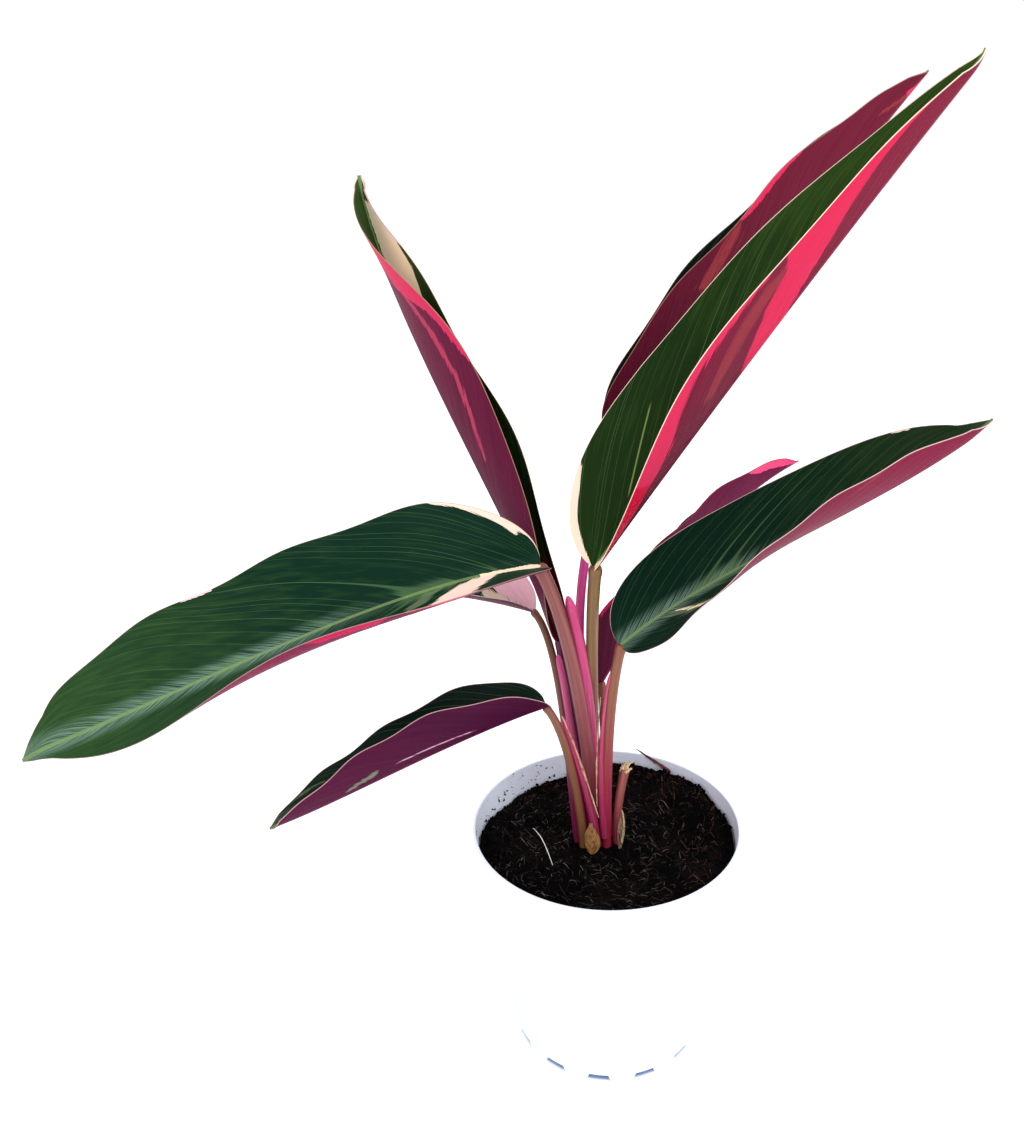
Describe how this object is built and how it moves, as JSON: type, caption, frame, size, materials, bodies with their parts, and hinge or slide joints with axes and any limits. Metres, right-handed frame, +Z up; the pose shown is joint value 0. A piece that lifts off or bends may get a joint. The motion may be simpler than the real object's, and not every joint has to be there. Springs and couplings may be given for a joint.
{
  "type": "potted stromanthe triostar",
  "caption": "Potted prayer plant: long folded leaves in green, cream and pink with maroon backs, on tan stalks with pink sheaths, in a round white nursery pot.",
  "frame": {"origin": "middle of the pot's base, on the surface that the pot stands on", "axes": "+Z up along the pot's axis, -Y towards the front of the plant, +X to its right"},
  "size_m": [0.3271, 0.178, 0.4167],
  "materials": {
    "pot_plastic": "smooth white moulded plastic with a soft sheen",
    "soil": "damp dark peat with brown wood fibres",
    "rhizome": "tan fleshy underground stem",
    "leaf_blade": "satin leaf, leathery: dark green with cream and pink patches above, maroon below",
    "leaf_stalk": "smooth brownish tan stalk with fine lengthwise streaks",
    "pink_sheath": "smooth magenta pink sheath with pale edges",
    "cut_stub": "drying cut stalk with a pale end",
    "dry_bract": "dry papery brown scale"
  },
  "bodies": {
    "root": {"pot": "pot_plastic", "soil": "soil", "rhizome": "rhizome", "blade_tall_front": "leaf_blade", "stalk_tall_front": "leaf_stalk", "blade_tall_back": "leaf_blade", "stalk_tall_back": "leaf_stalk", "blade_upright_left": "leaf_blade", "stalk_upright_left": "leaf_stalk", "blade_broad_left": "leaf_blade", "stalk_broad_left": "leaf_stalk", "blade_small_left": "leaf_blade", "stalk_small_left": "leaf_stalk", "blade_low_left": "leaf_blade", "stalk_low_left": "leaf_stalk", "blade_broad_right": "leaf_blade", "stalk_broad_right": "leaf_stalk", "blade_back_right": "leaf_blade", "stalk_back_right": "leaf_stalk", "sheath_low_left": "pink_sheath", "sheath_broad_left": "pink_sheath", "sheath_broad_right": "pink_sheath", "sheath_small_left": "pink_sheath", "cut_stub": "cut_stub", "bract_front": "dry_bract", "bract_right": "dry_bract"}
  },
  "joints": []
}
